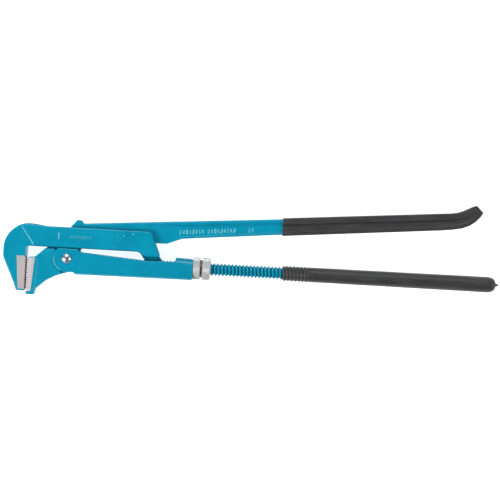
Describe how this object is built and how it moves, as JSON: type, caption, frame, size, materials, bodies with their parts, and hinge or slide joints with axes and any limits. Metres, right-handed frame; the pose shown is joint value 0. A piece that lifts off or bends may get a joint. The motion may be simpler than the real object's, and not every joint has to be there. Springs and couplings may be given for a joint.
{
  "type": "pipe wrench",
  "caption": "Lever pipe wrench with toothed jaws at right angles to long handles, a slotted hook lever with a threaded rod, a sliding pivot housing and a knurled adjusting nut.",
  "frame": {"origin": "middle of the tool's footprint, on the surface it lies on", "axes": "+X along the threaded rod towards the handle ends, +Y in the tool's plane from the lower handle to the upper one, +Z through the thickness, up off the surface"},
  "size_m": [0.5606, 0.1278, 0.0304],
  "materials": {
    "paint": "glossy teal-blue enamel over forged steel, slight orange peel",
    "jaw_steel": "bare hardened steel, ground flat, with milled cross teeth",
    "rivet_steel": "polished bright dome",
    "nut_zinc": "bright zinc-plated steel with a fine straight knurl",
    "spring_steel": "blued spring steel",
    "grip_vinyl": "black dipped vinyl, satin"
  },
  "bodies": {
    "hook": {"hook_lever": "paint", "hook_jaw_plate": "jaw_steel", "lower_grip": "grip_vinyl"},
    "housing": {"slide_housing": "paint", "pivot_rivet": "rivet_steel", "leaf_spring": "spring_steel", "spring_rivet": "spring_steel"},
    "lever": {"jaw_lever": "paint", "lever_jaw_plate": "jaw_steel", "upper_grip": "grip_vinyl"},
    "nut": {"adjusting_nut": "nut_zinc"}
  },
  "joints": [
    {"name": "housing_slide", "type": "slide", "parent": "hook", "child": "housing", "axis": [1, 0, 0], "range_m": [0, 0.058]},
    {"name": "lever_pivot", "type": "hinge", "parent": "housing", "child": "lever", "pos_m": [-0.2083, -0.02134, 0.0152], "axis": [0, 0, 1], "range_deg": [0, 25]},
    {"name": "nut_turn", "type": "hinge", "parent": "housing", "child": "nut", "pos_m": [-0.0563, -0.02464, 0.0152], "axis": [1, 0, 0], "range_deg": [0, 5090]}
  ],
  "couplings": [
    {"joint": "nut_turn", "follows": "housing_slide", "rad_per_m": 1528.8}
  ]
}
